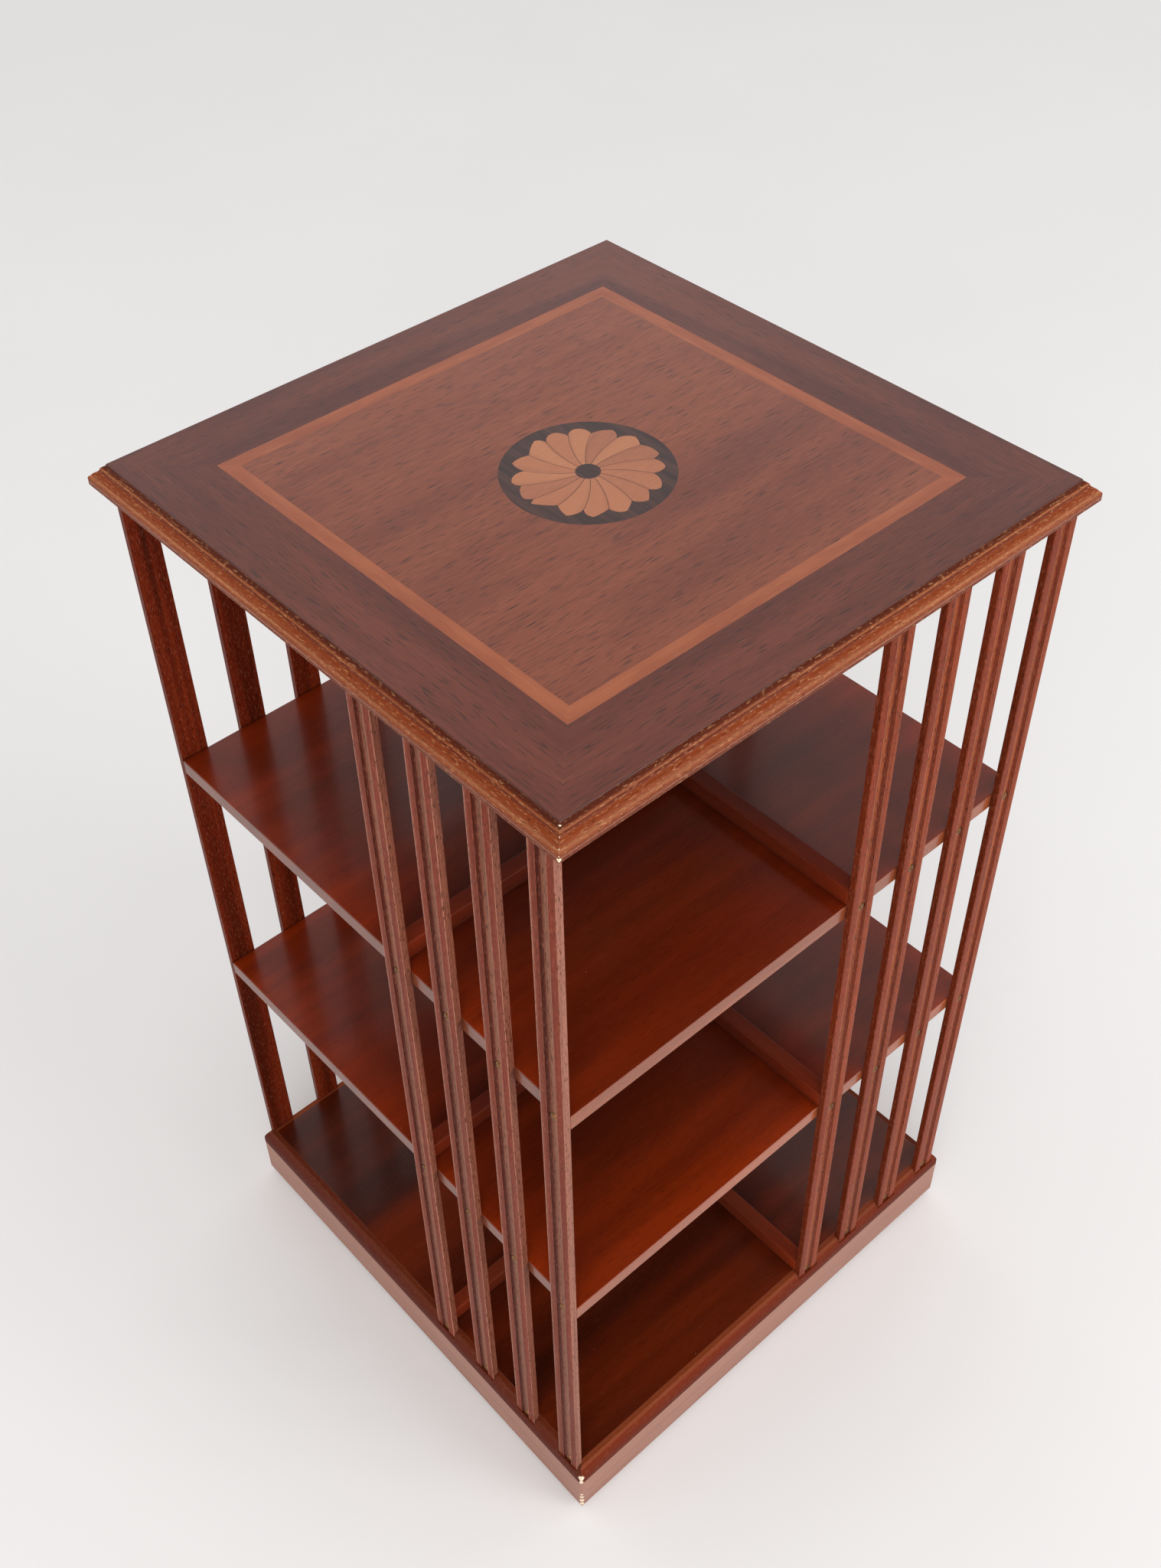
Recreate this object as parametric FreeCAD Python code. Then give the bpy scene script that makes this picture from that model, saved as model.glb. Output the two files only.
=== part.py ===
import FreeCAD
import Part

import math
import os

# Revolving bookcase in inlaid mahogany, in millimetres.
# The origin is on the floor under the middle, +Z is up and the front faces -Y.
# Each side is the front turned by quarter turns: an open bay on its left and slats on its right.

# Case and levels
case_width = 456.0
floor_gap = 5.0
plinth_face_height = 46.0
bottom_bay_height = 248.0
middle_bay_height = 234.0
upper_bay_height = 244.8
shelf_thickness = 14.0
shelf_arris_radius = 1.0

# Slats, let into the plinth moulding and screwed to the edge of every board
slats_per_side = 4
slat_width = 23.5
slat_thickness = 5.5
slat_pitch = 55.2
slat_arris_radius = 1.0
flute_width = 9.0
flute_wall = 0.7
flute_depth = 1.8
notch_clearance = 0.3
notch_rise = 10.0

# Brass raised countersunk slat screws
screw_head_radius = 3.7
screw_crown_radius = 2.3
screw_crown_height = 0.9
screw_cone_depth = 2.0
screw_shank_radius = 1.6
screw_grip = 11.0
screw_tip_length = 3.0
screw_clearance = 0.1
screw_foot_margin = 0.4

# Book stops, low strips that part the four bays of each level
stop_width = 13.5
stop_height = 15.0
stop_arris_radius = 1.5

# Plinth rails, mitred round the base board
plinth_overhang = 8.6
plinth_rail_thickness = 22.0
plinth_ovolo_width = 5.5
plinth_ovolo_rise = 15.5
plinth_fillet_width = 0.5
plinth_fillet_rise = 1.5
plinth_rim_radius = 0.8
plinth_foot_radius = 5.0
plinth_corner_radius = 3.0
base_board_thickness = 12.0
base_board_ledge = 11.0
corner_block_leg = 45.0
corner_block_height = 30.0

# Top board, with a mitred moulding round a core and veneer over both
top_core_thickness = 16.4
top_moulding_width = 18.0
top_moulding_projection = 10.5
veneer_thickness = 0.8
veneer_arris_radius = 0.5
veneer_overhang = 2.0
border_width = 53.7
band_width = 11.3

# The moulding's outline below the veneer: out from the veneer's edge as shares of the projection,
# and down as shares of the core's thickness. A pair is the middle and the end of an arc.
moulding_outline_shares = (
    ((0.02, 0.055),),
    ((0.08, 0.06),),
    ((0.225, 0.115), (0.345, 0.195)),
    ((0.35, 0.25),),
    ((0.375, 0.255),),
    ((0.46, 0.34), (0.61, 0.39)),
    ((0.725, 0.44), (0.81, 0.52)),
    ((0.885, 0.545),),
    ((0.975, 0.615), (1.0, 0.715)),
    ((0.96, 0.725),),
    ((0.96, 0.74),),
    ((1.0, 0.75),),
    ((1.0, 0.95),),
    ((0.985, 0.985), (0.935, 1.0)),
)

# Round patera, with swirled petals let into a dark ground
patera_radius = 60.0
petal_count = 16
petal_tip_radius = 51.8
petal_notch_radius = 45.0
petal_root_radius = 8.7
petal_depth = 0.4
petal_line = 0.35
glue_line = 0.05

# A petal's edges lag behind the notch where they end, as shares of the angle from one petal to the next.
petal_root_lag_share = 0.55
petal_mid_lag_share = 0.25

# The petals are cut by hand, one row each, clockwise from the back. First comes the notch before the petal:
# how far it has strayed round, as a share of the pitch, and out, as a share of the tip's rise.
# Then come the tip's place on the way to the next notch, and how far each side of the end swells.
petal_cut_shares = (
    (0.15, -0.10, 0.60, 0.22, 0.10),
    (0.10, -0.05, 0.40, 0.18, 0.18),
    (0.00, 0.05, 0.70, 0.12, 0.12),
    (0.05, -0.15, 0.55, 0.16, 0.05),
    (0.05, 0.30, 0.80, 0.12, 0.04),
    (0.10, 0.15, 0.60, 0.14, 0.12),
    (0.05, -0.20, 0.75, 0.14, 0.14),
    (0.15, 0.00, 0.55, 0.04, 0.16),
    (0.10, -0.10, 0.50, 0.04, 0.18),
    (0.10, 0.00, 0.65, 0.04, 0.16),
    (0.05, -0.20, 0.50, 0.12, 0.05),
    (0.10, -0.25, 0.85, 0.04, 0.04),
    (0.05, 0.30, 0.25, 0.10, 0.12),
    (0.00, 0.25, 0.35, 0.18, 0.18),
    (-0.05, -0.35, 0.40, 0.10, 0.10),
    (0.05, -0.10, 0.75, 0.04, 0.20),
)

# Swivel: a ball bearing of two pressed plates between a fixed foot board and a block under the base
swivel_block_width = 200.0
swivel_block_thickness = 20.0
swivel_plate_width = 150.0
swivel_plate_thickness = 1.5
swivel_height = 10.0
swivel_corner_radius = 12.0
race_radius = 56.0
race_width = 12.0
race_clearance = 0.3
race_gap = 1.4
ball_radius = 3.0
ball_count = 12
collar_radius = 33.0
collar_clearance = 1.5
collar_lip_width = 4.0
collar_lip_gap = 0.5
foot_board_width = 300.0
foot_board_thickness = 18.0
foot_board_corner_radius = 30.0
foot_hole_clearance = 3.0
access_hole_radius = 10.0
glide_radius = 14.0
glide_height = 8.0
glide_chamfer = 1.5
glide_inset = 28.0

# Steel screws of the swivel plates and of the boards
plate_screw_head_radius = 4.0
plate_screw_head_height = 1.9
plate_screw_radius = 2.0
plate_screw_length = 14.0
plate_screw_inset = 12.0
board_screw_head_radius = 4.2
board_screw_cone_depth = 2.4
board_screw_radius = 2.1
board_screw_length = 24.0
block_screw_inset = 13.0
head_screw_inset = 40.0

# Every cut runs past its piece by this much
overrun = 3.0

# Places worked out from the sizes above
case_half = case_width / 2
plinth_half = case_half + plinth_overhang
plinth_face_top = floor_gap + plinth_face_height
base_top = plinth_face_top + plinth_ovolo_rise + plinth_fillet_rise
base_board_bottom = base_top - base_board_thickness
lower_shelf_bottom = base_top + bottom_bay_height
lower_shelf_top = lower_shelf_bottom + shelf_thickness
upper_shelf_bottom = lower_shelf_top + middle_bay_height
upper_shelf_top = upper_shelf_bottom + shelf_thickness
head_board_bottom = upper_shelf_top + upper_bay_height
top_bottom = head_board_bottom + shelf_thickness
core_top = top_bottom + top_core_thickness
veneer_half = case_half + veneer_overhang
band_outer_half = veneer_half - border_width
band_inner_half = band_outer_half - band_width
core_half = veneer_half + top_moulding_projection - top_moulding_width
slat_foot = plinth_face_top + notch_rise
base_board_half = plinth_half - plinth_rail_thickness + base_board_ledge
stop_near = case_half - (slats_per_side - 1) * slat_pitch - slat_width
screw_rim = slat_thickness - flute_depth
foot_screw_height = slat_foot + screw_head_radius + screw_clearance + screw_foot_margin
swivel_block_bottom = base_board_bottom - swivel_block_thickness
upper_plate_bottom = swivel_block_bottom - swivel_plate_thickness
lower_plate_bottom = swivel_block_bottom - swivel_height
foot_board_bottom = lower_plate_bottom - foot_board_thickness
ball_height = lower_plate_bottom + swivel_height / 2
collar_thickness = swivel_plate_thickness
collar_outer = collar_radius + collar_thickness
lip_outer = collar_outer + collar_lip_width
plate_screw_place = swivel_plate_width / 2 - plate_screw_inset

sides = {"front": 0, "right": 90, "back": 180, "left": 270}
levels = {"base": base_top, "lower": lower_shelf_top, "upper": upper_shelf_top}
screw_levels = (
    foot_screw_height,
    lower_shelf_bottom + shelf_thickness / 2,
    upper_shelf_bottom + shelf_thickness / 2,
    head_board_bottom + shelf_thickness / 2,
)
origin = FreeCAD.Vector(0, 0, 0)
up = FreeCAD.Vector(0, 0, 1)
inward = FreeCAD.Vector(0, 1, 0)


def block(x0, x1, y0, y1, z0, z1):
    return Part.makeBox(x1 - x0, y1 - y0, z1 - z0, FreeCAD.Vector(x0, y0, z0))


def square_board(half, bottom, top):
    return block(-half, half, -half, half, bottom, top)


def turned(shape, degrees):
    copy = shape.copy()
    copy.rotate(origin, up, degrees)
    return copy


def on_all_sides(shapes):
    return [turned(shape, degrees) for degrees in sides.values() for shape in shapes]


def outline_face(start, steps, place):
    # A step of one point is a line to it, and a step of two is an arc through the first to the second.
    edges = []
    here = start
    for step in steps:
        points = [place(*point) for point in (here,) + step]
        if len(points) == 2:
            edges.append(Part.makeLine(points[0], points[1]))
        else:
            edges.append(Part.Arc(points[0], points[1], points[2]).toShape())
        here = step[-1]
    return Part.Face(Part.Wire(edges))


def polygon_prism(points, bottom, top):
    corners = [FreeCAD.Vector(x, y, bottom) for x, y in points]
    face = Part.Face(Part.makePolygon(corners + corners[:1]))
    return face.extrude(up * (top - bottom))


def mitred_rail(start, steps, reach, bottom, top):
    # The section runs out from the middle and up, and the front rail keeps what lies between the two mitres.
    section = outline_face(start, steps, lambda out, height: FreeCAD.Vector(-reach, -out, height))
    bar = section.extrude(FreeCAD.Vector(2 * reach, 0, 0))
    wedge = polygon_prism([(0, 0), (-reach, -reach), (reach, -reach)], bottom, top)
    return bar.common(wedge)


def mitred_strip(outer, inner, bottom, top):
    points = [(-outer, -outer), (outer, -outer), (inner, -inner), (-inner, -inner)]
    return polygon_prism(points, bottom, top)


def rounded_square(half, radius, bottom, top):
    board = square_board(half, bottom, top)
    upright = [edge for edge in board.Edges if edge.BoundBox.ZLength > board.BoundBox.ZLength / 2]
    return board.makeFillet(radius, upright)


def bulge(radius):
    # How far the middle of a quarter round stands back from the sides of its square corner
    return radius * (1 - math.cos(math.radians(45)))


# Slats

def slat_left(number):
    return case_half - (slats_per_side - number) * slat_pitch - slat_width


def slat_centres():
    return [slat_left(number) + slat_width / 2 for number in range(1, slats_per_side + 1)]


def slat_blank(left, bottom, top):
    right = left + slat_width
    middle = left + slat_width / 2
    flute_left = middle - flute_width / 2
    flute_right = middle + flute_width / 2
    shoulder = slat_thickness - slat_arris_radius
    round_off = bulge(slat_arris_radius)
    steps = (
        ((right, 0),),
        ((right, shoulder),),
        ((right - round_off, slat_thickness - round_off), (right - slat_arris_radius, slat_thickness)),
        ((flute_right, slat_thickness),),
        ((flute_right, slat_thickness - flute_wall),),
        ((middle, slat_thickness - flute_depth), (flute_left, slat_thickness - flute_wall)),
        ((flute_left, slat_thickness),),
        ((left + slat_arris_radius, slat_thickness),),
        ((left + round_off, slat_thickness - round_off), (left, shoulder)),
        ((left, 0),),
    )
    section = outline_face((left, 0), steps, lambda x, out: FreeCAD.Vector(x, -case_half - out, bottom))
    return section.extrude(up * (top - bottom))


def slat_screw_hole(x, height):
    rim_y = -case_half - screw_rim
    wide = screw_head_radius + screw_clearance
    narrow = screw_shank_radius + screw_clearance
    rim = FreeCAD.Vector(x, rim_y, height)
    mouth = Part.makeCylinder(wide, flute_depth + overrun, rim, -inward)
    cone = Part.makeCone(wide, narrow, screw_cone_depth, rim, inward)
    shank = Part.makeCylinder(narrow, screw_rim + overrun, rim, inward)
    return mouth.fuse([cone, shank])


def slat(number):
    blank = slat_blank(slat_left(number), slat_foot, top_bottom)
    middle = slat_left(number) + slat_width / 2
    holes = [slat_screw_hole(middle, height) for height in screw_levels]
    return blank.cut(holes)


def slat_screw(x, height):
    # The section runs along the screw from its rim, head side first, and out from its axis.
    length = screw_rim + screw_grip
    steps = (
        ((-screw_crown_height, screw_crown_radius),),
        ((0, screw_head_radius),),
        ((screw_cone_depth, screw_shank_radius),),
        ((length - screw_tip_length, screw_shank_radius),),
        ((length, 0),),
        ((-screw_crown_height, 0),),
    )
    rim = FreeCAD.Vector(x, -case_half - screw_rim, height)
    section = outline_face((-screw_crown_height, 0), steps, lambda a, out: rim + FreeCAD.Vector(out, a, 0))
    return section.revolve(rim, inward, 360)


def slat_screws():
    row = [slat_screw(x, height) for height in screw_levels for x in slat_centres()]
    return Part.makeCompound(on_all_sides(row))


def pilot_holes(height):
    # Holes for the slat screws in the four edges of a board, or in the rim and board of the base.
    narrow = screw_shank_radius + screw_clearance
    depth = screw_grip + overrun
    start = -case_half - overrun
    row = []
    for x in slat_centres():
        row.append(Part.makeCylinder(narrow, overrun + depth, FreeCAD.Vector(x, start, height), inward))
    return on_all_sides(row)


# Shelves and book stops

def shelf(bottom):
    board = square_board(case_half, bottom, bottom + shelf_thickness)
    eased = board.makeFillet(shelf_arris_radius, board.Edges)
    return eased.cut(pilot_holes(bottom + shelf_thickness / 2))


def book_stop(level_top):
    # The strip runs from the back of slat 1 to the stop of the next side, so four make a pinwheel.
    far = stop_near + stop_width
    strip = block(stop_near, far, -case_half, stop_near, level_top, level_top + stop_height)
    near_foot = level_top + stop_arris_radius / 2
    near_end = stop_near - stop_arris_radius / 2
    bare = [edge for edge in strip.Edges if edge.BoundBox.ZMax > near_foot and edge.BoundBox.YMin < near_end]
    return strip.makeFillet(stop_arris_radius, bare)


# Plinth and base board

def plinth_outline():
    inner = plinth_half - plinth_rail_thickness
    ovolo_radius = (plinth_ovolo_width ** 2 + plinth_ovolo_rise ** 2) / (2 * plinth_ovolo_width)
    half_angle = math.asin(plinth_ovolo_rise / ovolo_radius) / 2
    ovolo_centre = plinth_half - ovolo_radius
    mid_ovolo = (ovolo_centre + ovolo_radius * math.cos(half_angle),
                 plinth_face_top + ovolo_radius * math.sin(half_angle))
    ovolo_top = plinth_face_top + plinth_ovolo_rise
    ovolo_end = plinth_half - plinth_ovolo_width
    rim_edge = ovolo_end - plinth_fillet_width
    foot_round = bulge(plinth_foot_radius)
    rim_round = bulge(plinth_rim_radius)
    start = (inner, floor_gap)
    steps = (
        ((plinth_half - plinth_foot_radius, floor_gap),),
        ((plinth_half - foot_round, floor_gap + foot_round), (plinth_half, floor_gap + plinth_foot_radius)),
        ((plinth_half, plinth_face_top),),
        (mid_ovolo, (ovolo_end, ovolo_top)),
        ((rim_edge, ovolo_top),),
        ((rim_edge, base_top - plinth_rim_radius),),
        ((rim_edge - rim_round, base_top - rim_round), (rim_edge - plinth_rim_radius, base_top)),
        ((base_board_half, base_top),),
        ((base_board_half, base_board_bottom),),
        ((inner, base_board_bottom),),
        (start,),
    )
    return start, steps


def slat_notch(number):
    left = slat_left(number) - notch_clearance
    right = slat_left(number) + slat_width + notch_clearance
    return block(left, right, -plinth_half - overrun, -case_half, slat_foot, base_top + overrun)


def plinth_rail():
    start, steps = plinth_outline()
    rail = mitred_rail(start, steps, plinth_half, floor_gap, base_top)
    rail = rail.common(rounded_square(plinth_half, plinth_corner_radius, floor_gap, base_top))
    notches = [slat_notch(number) for number in range(1, slats_per_side + 1)]
    corner_slat_end = turned(slat_notch(slats_per_side), sides["left"])
    return rail.cut(notches + [corner_slat_end] + pilot_holes(foot_screw_height))


def board_screw_hole(x, y, rim_height):
    rim = FreeCAD.Vector(x, y, rim_height)
    wide = board_screw_head_radius + screw_clearance
    narrow = board_screw_radius + screw_clearance
    cone = Part.makeCone(wide, narrow, board_screw_cone_depth, rim, up)
    shank = Part.makeCylinder(narrow, board_screw_length + screw_clearance, rim, up)
    return cone.fuse(shank)


def swivel_block_screw_places():
    reach = swivel_block_width / 2 - block_screw_inset
    return [(x, y) for x in (-reach, reach) for y in (-reach, reach)]


def head_screw_places():
    reach = case_half - head_screw_inset
    corners = [(x, y) for x in (-reach, reach) for y in (-reach, reach)]
    middles = [(reach, 0), (-reach, 0), (0, reach), (0, -reach)]
    return corners + middles


def base_board():
    board = square_board(base_board_half, base_board_bottom, base_top)
    swivel_holes = [board_screw_hole(x, y, swivel_block_bottom) for x, y in swivel_block_screw_places()]
    return board.cut(pilot_holes(foot_screw_height) + swivel_holes)


def corner_blocks():
    corner = plinth_half - plinth_rail_thickness
    leg = corner_block_leg
    points = [(corner, -corner), (corner, -corner + leg), (corner - leg, -corner)]
    one = polygon_prism(points, base_board_bottom - corner_block_height, base_board_bottom)
    return Part.makeCompound(on_all_sides([one]))


# Top board

def top_core():
    core = square_board(core_half, top_bottom, core_top)
    return core.cut([board_screw_hole(x, y, head_board_bottom) for x, y in head_screw_places()])


def top_moulding():
    def placed(point):
        out_share, down_share = point
        out = veneer_half + out_share * top_moulding_projection
        return (out, core_top - down_share * top_core_thickness)

    start = (core_half, core_top)
    steps = [((veneer_half, core_top),)]
    steps += [tuple(placed(point) for point in step) for step in moulding_outline_shares]
    steps += [((core_half, top_bottom),), (start,)]
    reach = veneer_half + top_moulding_projection
    return mitred_rail(start, steps, reach + overrun, top_bottom, core_top)


def head_board():
    holes = [board_screw_hole(x, y, head_board_bottom) for x, y in head_screw_places()]
    return shelf(head_board_bottom).cut(holes)


def border_veneer():
    inner = band_outer_half
    edge = veneer_half - veneer_arris_radius
    top = core_top + veneer_thickness
    round_off = bulge(veneer_arris_radius)
    steps = (
        ((veneer_half, core_top),),
        ((veneer_half, top - veneer_arris_radius),),
        ((veneer_half - round_off, top - round_off), (edge, top)),
        ((inner, top),),
        ((inner, core_top),),
    )
    return mitred_rail((inner, core_top), steps, veneer_half + overrun, core_top, top)


def stringing_band():
    strip = mitred_strip(band_outer_half, band_inner_half, core_top, core_top + veneer_thickness)
    return Part.makeCompound(on_all_sides([strip]))


def field_veneer():
    sheet = square_board(band_inner_half, core_top, core_top + veneer_thickness)
    hole = Part.makeCylinder(patera_radius + glue_line, veneer_thickness, up * core_top)
    return sheet.cut(hole)


# Patera

def on_circle(radius, turn):
    # Turns are counted clockwise from the back, as the petals swirl.
    angle = math.radians(90 - turn)
    return (radius * math.cos(angle), radius * math.sin(angle))


def petal_cut(number):
    return petal_cut_shares[number % petal_count % len(petal_cut_shares)]


def petal_notch(number):
    # How far round and how far out the notch before a petal lies
    turn_share, rise_share = petal_cut(number)[:2]
    rise = petal_tip_radius - petal_notch_radius
    return (number + turn_share) * 360 / petal_count, petal_notch_radius + rise_share * rise


def swollen_side(start, end, swell_share):
    # An arc from start to end that swells outwards from the middle of the patera
    across = (end[1] - start[1], start[0] - end[0])
    middle = ((start[0] + end[0]) / 2, (start[1] + end[1]) / 2)
    outwards = math.copysign(1, across[0] * middle[0] + across[1] * middle[1])
    crest = (middle[0] + outwards * swell_share * across[0], middle[1] + outwards * swell_share * across[1])
    return (crest, end)


def petal_face(number, growth, height):
    # Half a fine dark line parts each petal from its neighbours, and its recess has the growth all round.
    pitch = 360 / petal_count
    first, first_reach = petal_notch(number)
    last, last_reach = petal_notch(number + 1)
    tip_share, first_swell_share, last_swell_share = petal_cut(number)[2:]
    middle_radius = (petal_root_radius + petal_notch_radius) / 2

    def on_edge(notch, radius, lag_share, inset):
        return on_circle(radius, notch - lag_share * pitch + math.degrees(inset / radius))

    trim = petal_line / 2 - growth
    root_first = on_edge(first, petal_root_radius - growth, petal_root_lag_share, trim)
    mid_first = on_edge(first, middle_radius, petal_mid_lag_share, trim)
    notch_first = on_edge(first, first_reach + growth, 0, trim)
    root_last = on_edge(last, petal_root_radius - growth, petal_root_lag_share, -trim)
    mid_last = on_edge(last, middle_radius, petal_mid_lag_share, -trim)
    notch_last = on_edge(last, last_reach + growth, 0, -trim)
    root_middle = on_edge((first + last) / 2, petal_root_radius - growth, petal_root_lag_share, 0)
    tip = on_circle(petal_tip_radius + growth, first + tip_share * (last - first))
    steps = (
        (mid_first, notch_first),
        swollen_side(notch_first, tip, first_swell_share),
        swollen_side(tip, notch_last, last_swell_share),
        (mid_last, root_last),
        (root_middle, root_first),
    )
    return outline_face(root_first, steps, lambda x, y: FreeCAD.Vector(x, y, height))


def petals(growth):
    bottom = core_top + veneer_thickness - petal_depth
    return [petal_face(number, growth, bottom).extrude(up * petal_depth) for number in range(petal_count)]


def patera_ground():
    disc = Part.makeCylinder(patera_radius, veneer_thickness, up * core_top)
    return disc.cut(petals(glue_line))


def patera_petals():
    return Part.makeCompound(petals(0))


# Swivel

def swivel_plate_sheet(bottom, hole_radius):
    top = bottom + swivel_plate_thickness
    sheet = rounded_square(swivel_plate_width / 2, swivel_corner_radius, bottom, top)
    holes = [Part.makeCylinder(hole_radius, swivel_plate_thickness, up * bottom)]
    narrow = plate_screw_radius + screw_clearance
    for x, y in plate_screw_places():
        holes.append(Part.makeCylinder(narrow, swivel_plate_thickness, FreeCAD.Vector(x, y, bottom)))
    return sheet.cut(holes)


def plate_screw_places():
    reach = plate_screw_place
    return [(x, y) for x in (-reach, reach) for y in (-reach, reach)]


def race_ring(bottom, top):
    outer = Part.makeCylinder(race_radius + race_width / 2, top - bottom, up * bottom)
    inner = Part.makeCylinder(race_radius - race_width / 2, top - bottom, up * bottom)
    groove = Part.makeTorus(race_radius, ball_radius + race_clearance, up * ball_height)
    return outer.cut([inner, groove])


def swivel_lower_plate():
    sheet = swivel_plate_sheet(lower_plate_bottom, collar_outer + collar_clearance)
    ring = race_ring(lower_plate_bottom + swivel_plate_thickness, ball_height - race_gap / 2)
    return sheet.fuse(ring).removeSplitter()


def swivel_upper_plate():
    # The collar hangs through the lower plate, and its rolled lip holds the two together.
    sheet = swivel_plate_sheet(upper_plate_bottom, collar_radius)
    ring = race_ring(ball_height + race_gap / 2, upper_plate_bottom)
    lip_top = lower_plate_bottom - collar_lip_gap
    lip_bottom = lip_top - collar_thickness
    tube = Part.makeCylinder(collar_outer, upper_plate_bottom - lip_bottom, up * lip_bottom)
    lip = Part.makeCylinder(lip_outer, collar_thickness, up * lip_bottom)
    bore = Part.makeCylinder(collar_radius, upper_plate_bottom - lip_bottom, up * lip_bottom)
    collar = tube.fuse(lip).cut(bore)
    return sheet.fuse([ring, collar]).removeSplitter()


def swivel_balls():
    balls = []
    for number in range(ball_count):
        x, y = on_circle(race_radius, 360 * number / ball_count)
        balls.append(Part.makeSphere(ball_radius, FreeCAD.Vector(x, y, ball_height)))
    return Part.makeCompound(balls)


def swivel_block():
    board = square_board(swivel_block_width / 2, swivel_block_bottom, base_board_bottom)
    holes = [board_screw_hole(x, y, swivel_block_bottom) for x, y in swivel_block_screw_places()]
    reach = plate_screw_length - swivel_plate_thickness + screw_clearance
    for x, y in plate_screw_places():
        foot = FreeCAD.Vector(x, y, swivel_block_bottom)
        holes.append(Part.makeCylinder(plate_screw_radius + screw_clearance, reach, foot))
    return board.cut(holes)


def foot_board():
    half = foot_board_width / 2
    board = rounded_square(half, foot_board_corner_radius, foot_board_bottom, lower_plate_bottom)
    wide = lip_outer + foot_hole_clearance
    centre_hole = Part.makeCylinder(wide, foot_board_thickness, up * foot_board_bottom)
    # The screws of the upper plate are driven through this hole, which passes under each in turn.
    access_place = FreeCAD.Vector(0, math.hypot(plate_screw_place, plate_screw_place), foot_board_bottom)
    access_hole = Part.makeCylinder(access_hole_radius, foot_board_thickness, access_place)
    holes = [centre_hole, access_hole]
    reach = plate_screw_length - swivel_plate_thickness + screw_clearance
    for x, y in plate_screw_places():
        head = FreeCAD.Vector(x, y, lower_plate_bottom)
        holes.append(Part.makeCylinder(plate_screw_radius + screw_clearance, reach, head, -up))
    return board.cut(holes)


def glides():
    place = foot_board_width / 2 - glide_inset
    foot = glide_radius - glide_chamfer
    pads = []
    for x in (-place, place):
        for y in (-place, place):
            upper_place = FreeCAD.Vector(x, y, glide_chamfer)
            pad = Part.makeCylinder(glide_radius, glide_height - glide_chamfer, upper_place)
            rim = Part.makeCone(foot, glide_radius, glide_chamfer, FreeCAD.Vector(x, y, 0))
            pads.append(pad.fuse(rim).removeSplitter())
    return Part.makeCompound(pads)


def plate_screw(x, y, seat, direction):
    # A pan head on the plate at the seat, and a shank along the direction.
    here = FreeCAD.Vector(x, y, seat)
    head = Part.makeCylinder(plate_screw_head_radius, plate_screw_head_height, here, -direction)
    shank = Part.makeCylinder(plate_screw_radius, plate_screw_length, here, direction)
    return head.fuse(shank).removeSplitter()


def plate_screws(seat, direction):
    return Part.makeCompound([plate_screw(x, y, seat, direction) for x, y in plate_screw_places()])


def board_screw(x, y, rim_height):
    rim = FreeCAD.Vector(x, y, rim_height)
    cone = Part.makeCone(board_screw_head_radius, board_screw_radius, board_screw_cone_depth, rim, up)
    shank = Part.makeCylinder(board_screw_radius, board_screw_length, rim, up)
    return cone.fuse(shank).removeSplitter()


def board_screws():
    screws = [board_screw(x, y, swivel_block_bottom) for x, y in swivel_block_screw_places()]
    screws += [board_screw(x, y, head_board_bottom) for x, y in head_screw_places()]
    return Part.makeCompound(screws)


def all_nodes():
    nodes = {
        "top_core": top_core(),
        "stringing_band": stringing_band(),
        "field_veneer": field_veneer(),
        "patera_ground": patera_ground(),
        "patera_petals": patera_petals(),
        "head_board": head_board(),
        "shelf_upper": shelf(upper_shelf_bottom),
        "shelf_lower": shelf(lower_shelf_bottom),
        "base_board": base_board(),
        "plinth_corner_blocks": corner_blocks(),
        "slat_screws": slat_screws(),
        "board_screws": board_screws(),
        "swivel_block": swivel_block(),
        "swivel_upper_plate": swivel_upper_plate(),
        "swivel_lower_plate": swivel_lower_plate(),
        "swivel_balls": swivel_balls(),
        "swivel_upper_screws": plate_screws(upper_plate_bottom, up),
        "swivel_lower_screws": plate_screws(lower_plate_bottom + swivel_plate_thickness, -up),
        "foot_board": foot_board(),
        "glides": glides(),
    }
    per_side = {
        "top_moulding": top_moulding(),
        "border_veneer": border_veneer(),
        "plinth_rail": plinth_rail(),
    }
    for level, level_top in levels.items():
        per_side["book_stop_" + level] = book_stop(level_top)
    for side, degrees in sides.items():
        for name, shape in per_side.items():
            nodes[name + "_" + side] = turned(shape, degrees)
        for number in range(1, slats_per_side + 1):
            nodes["slat_" + side + "_" + str(number)] = turned(slat(number), degrees)
    return nodes


os.makedirs("parts", exist_ok=True)
for node_name, node_shape in all_nodes().items():
    node_shape.exportStep("parts/" + node_name + ".step")
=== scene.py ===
import math
import random

import bpy
from mathutils import Matrix, Vector


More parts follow.
